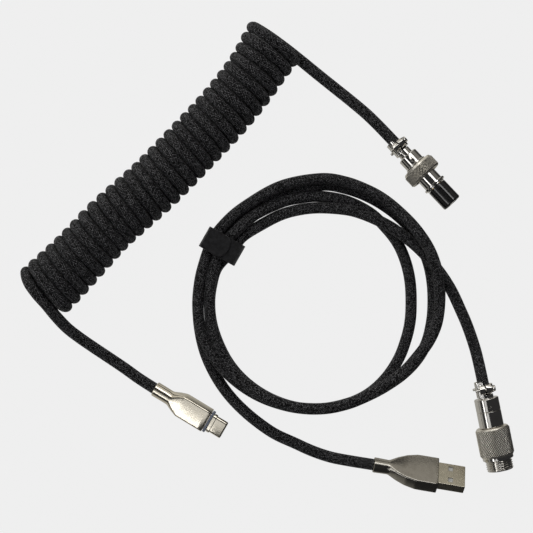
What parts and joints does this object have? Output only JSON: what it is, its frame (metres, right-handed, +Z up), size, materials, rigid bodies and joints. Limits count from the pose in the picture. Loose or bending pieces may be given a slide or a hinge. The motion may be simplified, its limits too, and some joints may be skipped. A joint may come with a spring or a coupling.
{
  "type": "coiled keyboard cable set",
  "caption": "Detachable coiled keyboard cable: coil with USB-C and a ring-locked aviator plug, and a looped, tied host cable with USB-A plug and threaded aviator socket.",
  "frame": {"origin": "middle of the laid-out set, on the table under it", "axes": "+Z up from the table, +X along the layout's longer side, from the coil's foot towards the aviator socket, +Y from the USB-A plug towards the coil's far end"},
  "size_m": [0.2184, 0.2102, 0.0256],
  "materials": {
    "black_braid": "braided sleeve",
    "black_tape": "hook-and-loop tape",
    "nickel_plate": "bright nickel plate",
    "bright_nickel": "champagne-tinted nickel",
    "dark_nickel": "pewter-coloured plate",
    "shell_steel": "plated sheet steel",
    "black_plastic": "glossy moulded",
    "white_plastic": "moulded",
    "grey_plastic": "moulded",
    "gold_contact": "gold plated",
    "wire_insulation": "smooth",
    "circuit_board": "solder mask"
  },
  "bodies": {
    "keyboard_end": {"usb_c_shell": "bright_nickel", "usb_c_insulator": "black_plastic", "usb_c_contacts_upper": "gold_contact", "usb_c_contacts_lower": "gold_contact", "usb_c_band": "grey_plastic", "usb_c_housing": "bright_nickel", "usb_c_board": "circuit_board", "usb_c_lead": "black_braid", "coil": "black_braid"},
    "plug_end": {"plug_lead": "black_braid", "plug_barrel": "nickel_plate", "plug_clamp_bar": "nickel_plate", "plug_clamp_screw_upper": "nickel_plate", "plug_clamp_screw_lower": "nickel_plate", "plug_set_screw": "nickel_plate", "plug_sleeve": "nickel_plate", "plug_retaining_ring": "nickel_plate", "plug_insert": "black_plastic", "plug_contact_1": "gold_contact", "plug_contact_2": "gold_contact", "plug_contact_3": "gold_contact", "plug_contact_4": "gold_contact", "plug_wires": "wire_insulation"},
    "ring_slider": {"coupling_washer": "nickel_plate"},
    "coupling_ring": {"coupling_ring": "nickel_plate"},
    "host_cable": {"usb_a_shell": "shell_steel", "usb_a_tongue": "white_plastic", "usb_a_contact_1": "gold_contact", "usb_a_contact_2": "gold_contact", "usb_a_contact_3": "gold_contact", "usb_a_contact_4": "gold_contact", "usb_a_housing": "dark_nickel", "usb_a_board": "circuit_board", "host_cord": "black_braid", "tie_wrap": "black_tape", "socket_barrel": "nickel_plate", "socket_clamp_bar": "nickel_plate", "socket_clamp_screw_upper": "nickel_plate", "socket_clamp_screw_lower": "nickel_plate", "socket_set_screw": "nickel_plate", "socket_body": "nickel_plate", "socket_insert": "black_plastic", "socket_pin_1": "gold_contact", "socket_pin_2": "gold_contact", "socket_pin_3": "gold_contact", "socket_pin_4": "gold_contact", "socket_wires": "wire_insulation"},
    "tie_tab": {"tie_tab": "black_tape"}
  },
  "joints": [
    {"name": "coil_stretch", "type": "slide", "parent": "keyboard_end", "child": "plug_end", "axis": [0.683, 0.7304, 0], "range_m": [0, 0.15], "stiffness_N_per_m": 15, "deforming": ["coil"]},
    {"name": "ring_slide", "type": "slide", "parent": "plug_end", "child": "ring_slider", "axis": [0.6719, -0.7301, 0.1243], "range_m": [0, 0.0067]},
    {"name": "ring_turn", "type": "hinge", "parent": "ring_slider", "child": "coupling_ring", "pos_m": [0.06798, 0.03723, 0.00819], "axis": [0.6719, -0.7301, 0.1243], "continuous": true},
    {"name": "host_cable_lift", "type": "slide", "parent": "keyboard_end", "child": "host_cable", "axis": [0, 0, 1], "range_m": [0, 0.12]},
    {"name": "tie_tab_peel", "type": "hinge", "parent": "host_cable", "child": "tie_tab", "pos_m": [-0.02761, 0.00797, 0.0131], "axis": [-0.4961, -0.8682, 0], "range_deg": [0, 120]}
  ]
}
